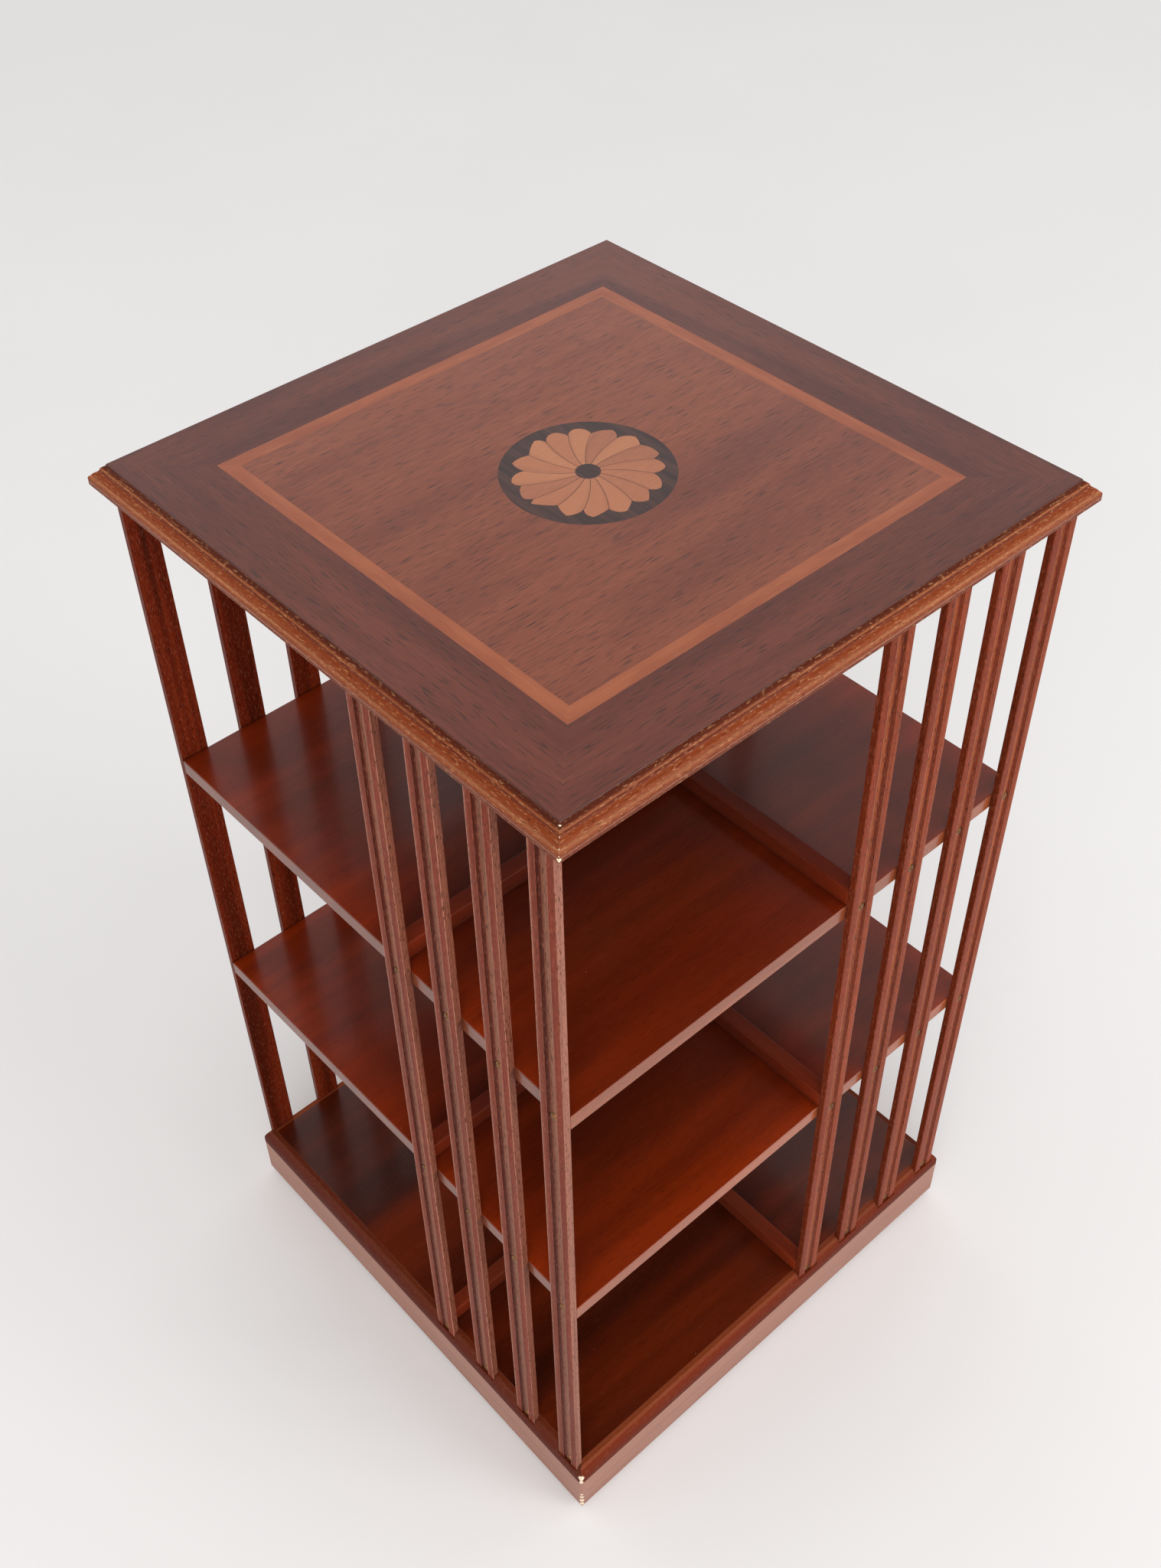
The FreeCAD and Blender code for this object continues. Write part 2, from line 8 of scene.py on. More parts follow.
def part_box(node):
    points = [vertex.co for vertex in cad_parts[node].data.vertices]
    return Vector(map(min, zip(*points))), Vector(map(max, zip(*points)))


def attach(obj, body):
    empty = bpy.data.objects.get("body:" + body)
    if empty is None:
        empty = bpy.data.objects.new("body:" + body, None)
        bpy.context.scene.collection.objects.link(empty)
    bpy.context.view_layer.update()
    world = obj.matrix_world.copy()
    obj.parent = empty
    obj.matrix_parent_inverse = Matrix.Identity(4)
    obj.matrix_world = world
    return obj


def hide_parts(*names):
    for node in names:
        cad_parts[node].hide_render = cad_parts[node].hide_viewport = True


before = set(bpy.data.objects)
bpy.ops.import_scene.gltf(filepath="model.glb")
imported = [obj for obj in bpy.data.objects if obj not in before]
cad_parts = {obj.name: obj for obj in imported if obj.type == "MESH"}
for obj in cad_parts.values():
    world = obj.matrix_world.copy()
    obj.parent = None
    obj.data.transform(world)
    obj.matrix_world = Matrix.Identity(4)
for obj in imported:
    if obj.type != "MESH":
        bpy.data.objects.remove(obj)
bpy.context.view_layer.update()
print("frame loaded:", len(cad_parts), "nodes")

random.seed(31)  # turns each screw's cross, the same way every run
mm = 0.001
sides = {"front": 0, "right": 90, "back": 180, "left": 270}
slatsPerSide = 4


def linear(hexColour):
    channels = []
    for start in (1, 3, 5):
        value = int(hexColour[start:start + 2], 16) / 255
        channels.append(value / 12.92 if value <= 0.04045 else ((value + 0.055) / 1.055) ** 2.4)
    return (*channels, 1.0)


def addNode(tree, kind, inputs=None, stops=None, **settings):
    # adds a shader node with its settings, its fixed values and its links
    node = tree.nodes.new(kind)
    for name, value in settings.items():
        setattr(node, name, value)
    for socket, value in (inputs or {}).items():
        if isinstance(value, bpy.types.NodeSocket):
            tree.links.new(value, node.inputs[socket])
        else:
            node.inputs[socket].default_value = value
    for number, (position, hexColour) in enumerate(stops or []):
        ramp = node.color_ramp.elements
        point = ramp[number] if number < 2 else ramp.new(position)
        point.position = position
        point.color = linear(hexColour)
    return node


def newMaterial(name):
    material = bpy.data.materials.new(name)
    material.use_nodes = True
    material.node_tree.nodes.clear()
    return material, material.node_tree


def dress(nodeNames, material):
    for name in nodeNames:
        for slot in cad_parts[name].material_slots:
            slot.material = material


def everySide(stem):
    return [stem + "_" + side for side in sides]


def slatMiddle(number):
    # how far to the right of the case's middle the middle of a front slat lies, in metres
    low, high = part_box("slat_front_" + str(number))
    return (low[0] + high[0]) / 2


# Where a point lies on the square case: its reach from the middle, how far it is sideways, its place along
# its own side and across its slat, and its height, in metres. Along counts up to the right from outside.

slatLayout = {"last": slatMiddle(slatsPerSide),
              "pitch": slatMiddle(slatsPerSide) - slatMiddle(slatsPerSide - 1)}


def casePlace(tree, slats):
    point = addNode(tree, "ShaderNodeTexCoord").outputs["Object"]
    x, y, z = addNode(tree, "ShaderNodeSeparateXYZ", {"Vector": point}).outputs
    sizeX = addNode(tree, "ShaderNodeMath", {0: x}, operation="ABSOLUTE").outputs[0]
    sizeY = addNode(tree, "ShaderNodeMath", {0: y}, operation="ABSOLUTE").outputs[0]
    reach = addNode(tree, "ShaderNodeMath", {0: sizeX, 1: sizeY}, operation="MAXIMUM").outputs[0]
    onFrontOrBack = addNode(tree, "ShaderNodeMath", {0: sizeY, 1: sizeX}, operation="GREATER_THAN").outputs[0]
    signX = addNode(tree, "ShaderNodeMath", {0: x}, operation="SIGN").outputs[0]
    signY = addNode(tree, "ShaderNodeMath", {0: y}, operation="SIGN").outputs[0]
    forwards = addNode(tree, "ShaderNodeMath", {0: signY, 1: -1.0}, operation="MULTIPLY").outputs[0]
    alongFront = addNode(tree, "ShaderNodeMath", {0: x, 1: forwards}, operation="MULTIPLY").outputs[0]
    alongSide = addNode(tree, "ShaderNodeMath", {0: y, 1: signX}, operation="MULTIPLY").outputs[0]
    along = addNode(tree, "ShaderNodeMix", {0: onFrontOrBack, 2: alongSide, 3: alongFront}).outputs[0]
    fromLast = addNode(tree, "ShaderNodeMath", {0: along, 1: slats["last"]}, operation="SUBTRACT").outputs[0]
    half = slats["pitch"] / 2
    across = addNode(tree, "ShaderNodeMath", {0: fromLast, 1: half, 2: -half}, operation="WRAP").outputs[0]
    return {"point": point, "axes": (x, y, z), "onFrontOrBack": onFrontOrBack, "reach": reach,
            "sideways": sizeX, "along": along, "across": across, "height": z}


# Which way the grain runs: the answer is a vector in metres, along the grain first and then twice across it.

def grainPlace(tree, onCase, run):
    if run == "x":
        return onCase["point"]
    x, y, z = onCase["axes"]
    if run == "z":
        return addNode(tree, "ShaderNodeCombineXYZ", {0: z, 1: x, 2: y}).outputs[0]
    turned = addNode(tree, "ShaderNodeCombineXYZ", {0: y, 1: x, 2: z}).outputs[0]
    if run == "y":
        return turned
    # mitred round the square: along the side that the point belongs to
    return addNode(tree, "ShaderNodeMix", {0: onCase["onFrontOrBack"], 4: turned, 5: onCase["point"]},
                   data_type="VECTOR").outputs[1]


# What all the woods share. A noise stays mostly between 0.3 and 0.7, and a pattern starts to show at the
# first value of its span and is full at the second. The offsets keep the patterns from lying on one another.
woodPattern = {
    "noiseRoughness": 0.55, "noiseDistortion": 0.25, "offsetAcross": 1.7, "offsetDeep": 0.6,
    "figureStops": (0.34, 0.50, 0.66), "figureDetail": 2.0, "figureOffset": 3.1, "zoneEdgeMm": 0.05,
    "streakSpan": (0.35, 0.65), "streakLengthMm": 180.0, "streakDetail": 2.0, "streakOffset": 11.3,
    "growthSpan": (0.2, 1.0), "poreSpan": (0.57, 0.70), "poreDetail": 1.0, "poreOffset": 7.7,
    "fleckSpan": (0.58, 0.72), "fleckDetail": 1.0, "fleckOffset": 23.9,
    "arrisSpan": (0.995, 0.90), "arrisSamples": 6, "arrisRunSpan": (0.42, 0.62), "arrisRunLeast": 0.25,
    "arrisRunLengthMm": 45.0, "arrisRunWidthMm": 12.0, "arrisRunDetail": 3.0, "arrisRunOffset": 31.1,
    "creaseShadeSpan": (0.85, 0.35), "creaseShadeSamples": 8,
    "raggedSpan": (0.3, 0.7), "raggedPerMetre": 900.0, "chipLeastShare": 0.55, "chipMostShare": 1.2,
    "dustTone": "#c9b3a4", "dustRadiusMm": 0.3,
    "smudgeSpan": (0.3, 0.7), "smudgesPerMetre": 14.0, "glossiest": -0.03, "dullest": 0.05,
    "ripplesPerMetre": 260.0, "rippleShare": 0.35, "bumpStrength": 0.5, "bumpMm": 0.06,
    "ior": 1.5, "coatRoughness": 0.12,
}


def woodFinish(name, look, pattern=woodPattern):
    # stained wood under satin lacquer: figure, streaks, growth lines, open pores, arrises partly rubbed and
    #     # partly painted with highlights, painted shade in the creases, and zones of tones, most of them
    #     painted light
    material, tree = newMaterial(name)
    onCase = casePlace(tree, slatLayout)
    place = grainPlace(tree, onCase, look["run"])

    def grain(lengthMm, widthMm, detail, offset):
        # a noise drawn out along the grain
        stretched = addNode(tree, "ShaderNodeMapping", {
            "Vector": place,
            "Location": (offset + look["shift"], offset * pattern["offsetAcross"] + look["shift"],
                         offset * pattern["offsetDeep"]),
            "Scale": (1 / (lengthMm * mm), 1 / (widthMm * mm), 1 / (widthMm * mm)),
        })
        return addNode(tree, "ShaderNodeTexNoise", {
            "Vector": stretched.outputs[0], "Scale": 1.0, "Detail": detail,
            "Roughness": pattern["noiseRoughness"], "Distortion": pattern["noiseDistortion"],
        }).outputs[0]

    def layOver(under, tone, shape, span, depth):
        # lays a tone over the colour, none of it at the start of the shape's span and depth of it at the end
        amount = addNode(tree, "ShaderNodeMapRange", {0: shape, 1: span[0], 2: span[1], 3: 0.0, 4: depth})
        return addNode(tree, "ShaderNodeMix", {0: amount.outputs[0], 6: under, 7: tone},
                       data_type="RGBA").outputs[2]

    figure = grain(look["figureLengthMm"], look["figureWidthMm"], pattern["figureDetail"],
                   pattern["figureOffset"])
    tones = (look["dark"], look["middle"], look["light"])
    colour = addNode(tree, "ShaderNodeValToRGB", {"Fac": figure},
                     stops=list(zip(pattern["figureStops"], tones))).outputs[0]

    # zones: a strip of the piece has tones laid over it, which run along a measure of where the point lies.
    #     # Most zones paint light: painted highlights, painted sheen and painted shade on profiles and edges
    blur = pattern["zoneEdgeMm"]
    for zone in look["zones"]:
        low, high = zone["spanMm"]
        share = addNode(tree, "ShaderNodeMapRange", {
            0: onCase[zone["measure"]], 1: low * mm, 2: high * mm, 3: 0.0, 4: 1.0,
        }).outputs[0]
        tone = addNode(tree, "ShaderNodeValToRGB", {"Fac": share}, stops=[
            ((where - low) / (high - low), hexColour) for where, hexColour in zone["tones"]
        ]).outputs[0]
        inner, outer = zone["withinMm"]
        pastInner = addNode(tree, "ShaderNodeMapRange", {
            0: onCase[zone["within"]], 1: (inner - blur) * mm, 2: (inner + blur) * mm, 3: 0.0, 4: 1.0,
        }).outputs[0]
        beforeOuter = addNode(tree, "ShaderNodeMapRange", {
            0: onCase[zone["within"]], 1: (outer - blur) * mm, 2: (outer + blur) * mm, 3: 1.0, 4: 0.0,
        }).outputs[0]
        inside = addNode(tree, "ShaderNodeMath", {0: pastInner, 1: beforeOuter},
                         operation="MULTIPLY").outputs[0]
        colour = layOver(colour, tone, inside, (0.0, 1.0), zone["amount"])

    streaks = grain(pattern["streakLengthMm"], look["streakWidthMm"], pattern["streakDetail"],
                    pattern["streakOffset"])
    colour = layOver(colour, linear(look["dark"]), streaks, pattern["streakSpan"], look["streakDepth"])

    # growth lines follow the contours of the broad figure, so they close up into arches as in flat sawn wood
    turns = addNode(tree, "ShaderNodeMath", {0: figure, 1: look["growthLines"]}, operation="MULTIPLY")
    growth = addNode(tree, "ShaderNodeMath", {0: turns.outputs[0]}, operation="SINE").outputs[0]
    colour = layOver(colour, linear(look["dark"]), growth, pattern["growthSpan"], look["growthDepth"])

    # open pores, drawn a little coarser than the real 0.2 mm so that they show, and pale flecks among them
    pores = grain(look["poreLengthMm"], look["poreWidthMm"], pattern["poreDetail"], pattern["poreOffset"])
    colour = layOver(colour, linear(look["poreAndShade"]), pores, pattern["poreSpan"], look["poreDepth"])
    flecks = grain(look["poreLengthMm"], look["poreWidthMm"], pattern["fleckDetail"], pattern["fleckOffset"])
    colour = layOver(colour, linear(look["fleck"]), flecks, pattern["fleckSpan"], look["fleckDepth"])

    # arrises paler, in broken runs: partly rubbed through to a paler wood, partly a painted highlight on the
    # edge
    rounded = addNode(tree, "ShaderNodeBevel", {"Radius": look["rubbedAndHighlitMm"] * mm},
                      samples=pattern["arrisSamples"])
    flat = addNode(tree, "ShaderNodeNewGeometry")
    same = addNode(tree, "ShaderNodeVectorMath", {0: rounded.outputs[0], 1: flat.outputs["Normal"]},
                   operation="DOT_PRODUCT").outputs["Value"]
    arris = addNode(tree, "ShaderNodeMapRange", {
        0: same, 1: pattern["arrisSpan"][0], 2: pattern["arrisSpan"][1], 3: 0.0, 4: 1.0,
    }).outputs[0]
    patches = grain(pattern["arrisRunLengthMm"], pattern["arrisRunWidthMm"], pattern["arrisRunDetail"],
                    pattern["arrisRunOffset"])
    arrisRuns = addNode(tree, "ShaderNodeMapRange", {
        0: patches, 1: pattern["arrisRunSpan"][0], 2: pattern["arrisRunSpan"][1], 3: pattern["arrisRunLeast"], 4: 1.0,
    }).outputs[0]
    rubbedAndHighlit = addNode(tree, "ShaderNodeMath", {0: arris, 1: arrisRuns}, operation="MULTIPLY").outputs[0]
    colour = layOver(colour, linear(look["rubbedAndHighlit"]), rubbedAndHighlit, (0.0, 1.0), look["rubbedAndHighlitDepth"])

    # painted shade: the quirks and corners are darkened in the pore tone where ambient occlusion finds them
    # closed in
    exposed = addNode(tree, "ShaderNodeAmbientOcclusion", {"Distance": look["creaseShadeMm"] * mm},
                      samples=pattern["creaseShadeSamples"]).outputs[1]
    colour = layOver(colour, linear(look["poreAndShade"]), exposed, pattern["creaseShadeSpan"], look["creaseShadeDepth"])

    # chips knocked off the corners show the bare wood, with a ragged edge
    ragged = addNode(tree, "ShaderNodeTexNoise", {
        "Vector": place, "Scale": pattern["raggedPerMetre"], "Detail": 2.0,
    }).outputs[0]
    for x, y, z, size in look["chipsMm"]:
        away = addNode(tree, "ShaderNodeVectorMath", {0: onCase["point"], 1: (x * mm, y * mm, z * mm)},
                       operation="DISTANCE").outputs["Value"]
        edge = addNode(tree, "ShaderNodeMapRange", {
            0: ragged, 1: pattern["raggedSpan"][0], 2: pattern["raggedSpan"][1],
            3: pattern["chipLeastShare"] * size * mm, 4: pattern["chipMostShare"] * size * mm,
        }).outputs[0]
        chip = addNode(tree, "ShaderNodeMath", {0: away, 1: edge}, operation="LESS_THAN").outputs[0]
        colour = layOver(colour, linear(look["chip"]), chip, (0.0, 1.0), 1.0)

    # specks of dust, drawn about 0.6 mm across so that they show
    cells = addNode(tree, "ShaderNodeTexVoronoi", {
        "Vector": onCase["point"], "Scale": 1 / (look["dustPitchMm"] * mm),
    })
    speck = addNode(tree, "ShaderNodeMath", {
        0: cells.outputs["Distance"], 1: pattern["dustRadiusMm"] / look["dustPitchMm"],
    }, operation="LESS_THAN").outputs[0]
    colour = layOver(colour, linear(pattern["dustTone"]), speck, (0.0, 1.0), look["dust"])

    smudges = addNode(tree, "ShaderNodeTexNoise", {
        "Vector": place, "Scale": pattern["smudgesPerMetre"], "Detail": 2.0,
    }).outputs[0]
    roughness = addNode(tree, "ShaderNodeMapRange", {
        0: smudges, 1: pattern["smudgeSpan"][0], 2: pattern["smudgeSpan"][1],
        3: look["roughness"] + pattern["glossiest"], 4: look["roughness"] + pattern["dullest"],
    }).outputs[0]
    ripple = addNode(tree, "ShaderNodeTexNoise", {
        "Vector": place, "Scale": pattern["ripplesPerMetre"], "Detail": 1.0,
    }).outputs[0]
    sunk = addNode(tree, "ShaderNodeMapRange", {
        0: pores, 1: pattern["poreSpan"][0], 2: pattern["poreSpan"][1], 3: 0.0, 4: -look["poreSink"],
    }).outputs[0]
    height = addNode(tree, "ShaderNodeMath", {0: ripple, 1: pattern["rippleShare"], 2: sunk},
                     operation="MULTIPLY_ADD").outputs[0]
    bump = addNode(tree, "ShaderNodeBump", {
        "Height": height, "Strength": pattern["bumpStrength"], "Distance": pattern["bumpMm"] * mm,
    })
    shader = addNode(tree, "ShaderNodeBsdfPrincipled", {
        "Base Color": colour, "Roughness": roughness, "Normal": bump.outputs[0],
        "IOR": pattern["ior"], "Specular IOR Level": look["gloss"], "Coat Weight": look["coat"],
        "Coat Roughness": pattern["coatRoughness"],
    })
    addNode(tree, "ShaderNodeOutputMaterial", {"Surface": shader.outputs[0]})
    return material


def evenZone(measure, withinMm, amount, hexColour):
    # a zone of one tone all over
    return {"measure": measure, "spanMm": withinMm, "within": measure, "withinMm": withinMm,
            "amount": amount, "tones": [(where, hexColour) for where in withinMm]}


# Field veneer: plain sliced mahogany, stained and satin lacquered. Straight grain, faint arches, short pores.
fieldLook = {
    "run": "x", "dark": "#6f3420", "middle": "#84422a", "light": "#8e4a30", "poreAndShade": "#35150c",
    "fleck": "#a8684e", "rubbedAndHighlit": "#a06a50", "creaseShadeMm": 2.0, "creaseShadeDepth": 0.0, "gloss": 0.42,
    "figureLengthMm": 420.0, "figureWidthMm": 70.0, "streakWidthMm": 4.0, "streakDepth": 0.35,
    "growthLines": 60.0, "growthDepth": 0.22, "poreLengthMm": 16.0, "poreWidthMm": 1.1, "poreDepth": 0.75,
    "fleckDepth": 0.18, "rubbedAndHighlitMm": 0.5, "rubbedAndHighlitDepth": 0.0, "poreSink": 0.8, "roughness": 0.34, "coat": 0.2,
    "zones": [], "chipsMm": [], "chip": "#dcb68c", "dust": 0.5, "dustPitchMm": 34.0, "shift": 0.0,
}

# Border: the same veneer stained darker, its grain along each side and mitred at the corners. It is darkest
# on its rim, where it laps the moulding.
borderLook = dict(
    fieldLook, run="mitred", dark="#531f14", middle="#642b1b", light="#723522", poreAndShade="#260f09",
    fleck="#8a5140", rubbedAndHighlit="#8a5843", figureLengthMm=300.0, figureWidthMm=30.0, growthDepth=0.12,
    rubbedAndHighlitDepth=0.15, rubbedAndHighlitMm=0.6, zones=[evenZone("reach", (229.6, 231.0), 0.9, "#3a1106")])

# Stringing band: satinwood, pale and silky, with a few bits of cross figure.
bandLook = dict(
    fieldLook, run="mitred", dark="#904626", middle="#9c502e", light="#a65a36", poreAndShade="#6a3a22",
    fleck="#b97c58", figureLengthMm=60.0, figureWidthMm=14.0, streakWidthMm=2.0, streakDepth=0.2,
    growthLines=40.0, growthDepth=0.15, poreDepth=0.15)

# Boards of the shelves and base: stained solid mahogany, red brown with dark streaks. The front and back
# # edges have a painted pale sheen, the left and right edges a darker tone with less of it, and the shelves
# have
# # painted shade towards their middle, so they are redder towards their edges.
boardSheenEdge = evenZone("reach", (227.7, 229.0), 0.85, "#a3532b")
boardLessSheenEdge = evenZone("sideways", (227.7, 229.0), 0.85, "#6e3018")
# painted shade towards the middle of each shelf, under the top and behind the slats
boardShadeTowardsMiddle = {
    "measure": "reach", "spanMm": (60.0, 227.5), "within": "reach", "withinMm": (-1.0, 227.7), "amount": 0.7,
    "tones": [(60.0, "#481508"), (130.0, "#521907"), (190.0, "#6c1f06"), (227.5, "#8e2c08")]}
boardLook = dict(
    fieldLook, run="x", dark="#3a1005", middle="#641f07", light="#862d08", poreAndShade="#240a04",
    fleck="#8a4426", rubbedAndHighlit="#9a6b58", figureLengthMm=700.0, figureWidthMm=60.0, streakWidthMm=16.0,
    streakDepth=0.3, growthLines=18.0, growthDepth=0.12, poreLengthMm=11.0, poreWidthMm=0.9,
    poreDepth=0.3, poreSink=0.2, shift=0.4, fleckDepth=0.1, rubbedAndHighlitMm=0.8, rubbedAndHighlitDepth=0.2, roughness=0.24,
    coat=0.2, gloss=0.4, creaseShadeMm=6.0, creaseShadeDepth=0.5, zones=[boardShadeTowardsMiddle, boardSheenEdge, boardLessSheenEdge])
baseLook = dict(boardLook, dark="#2e0d04", middle="#481505", light="#642007", zones=[boardSheenEdge, boardLessSheenEdge])

# Book stops: the same wood, its polish rubbed dull.
stopLook = dict(
    boardLook, dark="#40140a", middle="#682510", light="#803414", gloss=0.15, coat=0.0, roughness=0.55,
    rubbedAndHighlitDepth=0.1)

# Slats: stained mahogany, planed and grooved, browner than the boards. Tones across each slat paint its
# light:
# # painted shade on the flute's walls and corners, a painted sheen in the flute and painted highlights on the
# # arrises. The two pairs of sides are lit and shaded copies: one pair greyer, with more painted pale sheen.
slatPaintedLightZone = {
    "measure": "across", "spanMm": (-12.0, 12.0), "within": "reach", "withinMm": (228.4, 240.0),
    "amount": 0.8}
greySlatPaintedLight = [
    (-12.0, "#571a0a"), (-11.65, "#6a2410"), (-11.4, "#dcaa98"), (-10.2, "#9c5640"), (-8.6, "#843414"),
    (-5.6, "#7a280c"), (-4.8, "#863616"), (-4.3, "#3c1005"), (-2.6, "#541a08"), (-1.8, "#824c34"),
    (0.5, "#94624c"), (3.4, "#9a6852"), (4.4, "#c8947c"), (5.0, "#9a5030"), (6.0, "#78240a"),
    (8.6, "#842e12"), (11.0, "#8c3c20"), (11.4, "#c48c76"), (11.65, "#a06a58"), (12.0, "#a06a58")]
# painted shade on the right-hand edge of every slat but the one nearest the corner
greySlatEdgeShade = {
    "measure": "along", "spanMm": (190.0, 200.0), "within": "across", "withinMm": (11.6, 13.0),
    "amount": 0.8, "tones": [(190.0, "#7a4432"), (200.0, "#a06a58")]}
redSlatPaintedLight = [
    (-12.0, "#702c14"), (-11.65, "#783018"), (-11.3, "#8a3c22"), (-10.4, "#843010"), (-7.0, "#8c3412"),
    (-5.2, "#823010"), (-4.8, "#b87050"), (-4.2, "#c47e60"), (-3.6, "#9c4c24"), (0.5, "#a04e22"),
    (1.6, "#8a3816"), (2.4, "#5c1e0a"), (3.8, "#6c2810"), (4.6, "#a04c28"), (5.4, "#923612"),
    (8.6, "#984016"), (10.8, "#a04c2c"), (11.3, "#b47058"), (11.65, "#642612"), (12.0, "#5a1e0c")]
greySlatLook = dict(
    boardLook, run="z", dark="#451204", middle="#641d0a", light="#7c2a10", poreAndShade="#300e05",
    fleck="#c07a5e", rubbedAndHighlit="#c08e7a", figureWidthMm=12.0, figureLengthMm=500.0, streakWidthMm=2.2,
    growthLines=20.0, growthDepth=0.15, poreLengthMm=5.0, poreWidthMm=0.7, poreDepth=0.9,
    fleckDepth=0.25, rubbedAndHighlitMm=0.5, rubbedAndHighlitDepth=0.2, poreSink=0.8, roughness=0.4, coat=0.0, gloss=0.08,
    creaseShadeMm=3.0, creaseShadeDepth=0.7, zones=[dict(slatPaintedLightZone, tones=greySlatPaintedLight), greySlatEdgeShade])
redSlatLook = dict(greySlatLook, zones=[dict(slatPaintedLightZone, tones=redSlatPaintedLight)])

# Mouldings: the same wood, its short pores showing as speckle on the cut profile. Tones by height paint the
# # profile's light: painted shade in the quirks and below the veneer's edge, and painted highlights on the
# bead,
# # the nose and the bottom edge. Heights are from the floor.
mouldingPaintedLight = {
    "measure": "height", "spanMm": (836.0, 854.0), "within": "reach", "withinMm": (222.0, 260.0),
    "amount": 0.85, "tones": [
        (836.4, "#c29a84"), (836.9, "#b98468"), (837.4, "#5e2c1a"), (839.4, "#5c2814"),
        (839.9, "#94503a"), (840.7, "#a8705a"), (841.2, "#7a3a22"), (842.6, "#84401f"),
        (843.6, "#9a5434"), (844.4, "#b0744e"), (845.0, "#8a4420"), (847.2, "#8a3d16"),
        (848.6, "#6a270c"), (849.3, "#4a1707"), (849.8, "#8a4826"), (850.4, "#9c5e38"),
        (850.9, "#7c3c1a"), (851.4, "#3a1105"), (854.0, "#3a1105")]}
mouldingLook = dict(
    greySlatLook, run="mitred", dark="#6c2a12", middle="#93421d", light="#a34f26", fleck="#c08a5e",
    poreAndShade="#4a1a0a", figureWidthMm=16.0, poreLengthMm=4.0, poreWidthMm=0.9, poreDepth=0.5,
    fleckDepth=0.5, rubbedAndHighlitMm=0.5, rubbedAndHighlitDepth=0.2, creaseShadeMm=2.0, creaseShadeDepth=0.4, gloss=0.12,
    zones=[mouldingPaintedLight], chip="#eed9bd", chipsMm=[
        (-230.6, -230.6, 851.6, 1.0), (-234.2, -234.2, 848.3, 0.4), (-236.3, -236.3, 847.3, 0.4),
        (-238.3, -238.3, 845.0, 0.4), (-240.4, -240.4, 842.4, 0.4), (-240.2, -240.2, 839.6, 1.5)])

# Plinth: tones by height paint its light: a painted pale sheen on the upright face, a little darker at the
# # foot, and painted shade on the ovolo over it, with a painted highlight at its rim.
plinthPaintedLight = {
    "measure": "height", "spanMm": (0.0, 70.0), "within": "reach", "withinMm": (225.0, 260.0),
    "amount": 0.85, "tones": [
        (0.0, "#8c6050"), (4.0, "#aa7c6c"), (49.0, "#b08271"), (51.6, "#b48876"), (52.2, "#561804"),
        (57.0, "#641c06"), (61.5, "#6e2408"), (65.0, "#742709"), (66.8, "#964a2a"), (70.0, "#702608")]}
# The left and right rails are a shaded copy, with more painted shade on their ovolo.
shadedPlinthPaintedLight = dict(plinthPaintedLight, tones=[
    (0.0, "#8c6050"), (4.0, "#aa7c6c"), (49.0, "#b08271"), (51.6, "#b48876"), (52.2, "#481204"),
    (57.0, "#501405"), (61.5, "#561a08"), (65.0, "#5c1e0a"), (66.8, "#662a16"), (70.0, "#5c1e08")])
plinthLook = dict(
    mouldingLook, dark="#4a180b", middle="#5e2410", light="#6e2d16", fleckDepth=0.1, poreDepth=0.15,
    gloss=0.1, rubbedAndHighlitMm=0.8, rubbedAndHighlitDepth=0.15, streakDepth=0.15, creaseShadeMm=3.0, creaseShadeDepth=0.5,
    zones=[plinthPaintedLight], chipsMm=[
        (-234.6, -234.6, 58.5, 3.0), (-235.4, -235.4, 54.0, 2.2), (-235.8, -235.8, 30.0, 1.6),
        (-235.8, -235.8, 24.5, 2.2), (-235.8, -235.8, 18.0, 2.6), (-235.8, -235.8, 11.5, 2.4)])

dress(["field_veneer"], woodFinish("mahoganyFieldVeneer", fieldLook))
dress(everySide("border_veneer"), woodFinish("mahoganyBorderVeneer", borderLook))
dress(["stringing_band"], woodFinish("satinwoodBand", bandLook))
dress(["shelf_upper", "shelf_lower", "head_board"], woodFinish("mahoganyShelfBoard", boardLook))
dress(["base_board"], woodFinish("mahoganyBaseBoard", baseLook))
stopAlongX = woodFinish("mahoganyStopAlongX", stopLook)
stopAlongY = woodFinish("mahoganyStopAlongY", dict(stopLook, run="y"))
for level in ("base", "lower", "upper"):
    dress(["book_stop_" + level + "_left", "book_stop_" + level + "_right"], stopAlongX)
    dress(["book_stop_" + level + "_front", "book_stop_" + level + "_back"], stopAlongY)
greySlatWood = woodFinish("mahoganySlatGreySheen", greySlatLook)
redSlatWood = woodFinish("mahoganySlatRed", redSlatLook)
for number in range(1, slatsPerSide + 1):
    dress(["slat_left_" + str(number), "slat_right_" + str(number)], greySlatWood)
    dress(["slat_front_" + str(number), "slat_back_" + str(number)], redSlatWood)
dress(everySide("top_moulding"), woodFinish("mahoganyMoulding", mouldingLook))
dress(["plinth_rail_front", "plinth_rail_back"], woodFinish("mahoganyPlinth", plinthLook))
dress(["plinth_rail_left", "plinth_rail_right"],
      woodFinish("mahoganyPlinthShaded", dict(plinthLook, zones=[shadedPlinthPaintedLight])))
print("mahogany and satinwood dressed")


# Patera

# The dark round ground: rosewood veneer, its stripes across the field's grain.
groundLook = dict(
    fieldLook, run="y", dark="#2b1511", middle="#43251e", light="#563227", poreAndShade="#1c0d0a",
    fleck="#6e4a3c", figureLengthMm=160.0, figureWidthMm=7.0, streakWidthMm=1.6, streakDepth=0.6,
    growthLines=30.0, growthDepth=0.4, poreDepth=0.3)
dress(["patera_ground"], woodFinish("rosewoodGround", groundLook))

